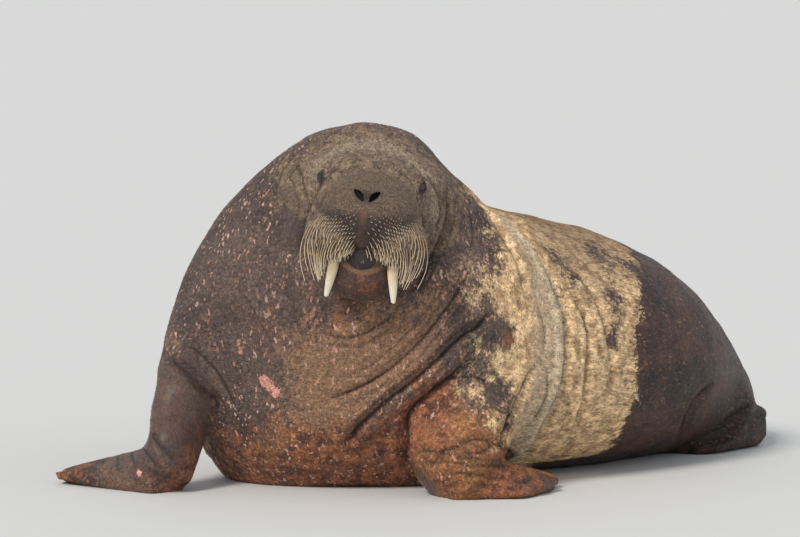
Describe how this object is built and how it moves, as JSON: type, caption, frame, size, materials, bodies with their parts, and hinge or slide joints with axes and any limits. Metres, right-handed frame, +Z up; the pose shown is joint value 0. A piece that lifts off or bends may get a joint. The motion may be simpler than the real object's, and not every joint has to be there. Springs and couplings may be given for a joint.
{
  "type": "walrus",
  "caption": "Life-size walrus resting on the floor, chest propped on its fore flippers, face raised, with short tusks and a whiskered muzzle",
  "frame": {"origin": "on the floor, under the flat of the belly", "axes": "+Z up, the face looks to -Y, and the trunk trails off to +X and +Y, so +X is the animal's left side at the chest"},
  "size_m": [2.0624, 1.5824, 1.0124],
  "materials": {
    "skin": "wrinkled hide with short fur",
    "ivory": "polished ivory",
    "eye": "wet and glossy"
  },
  "bodies": {
    "root": {"head": "skin", "left_whisker_pad": "skin", "right_whisker_pad": "skin", "lower_jaw": "skin", "neck": "skin", "chest": "skin", "abdomen": "skin", "hindquarters": "skin", "left_arm": "skin", "right_arm": "skin", "left_fore_flipper": "skin", "right_fore_flipper": "skin", "left_hind_flipper": "skin", "right_hind_flipper": "skin", "tail": "skin", "left_eye": "eye", "right_eye": "eye", "left_tusk": "ivory", "right_tusk": "ivory"}
  },
  "joints": []
}
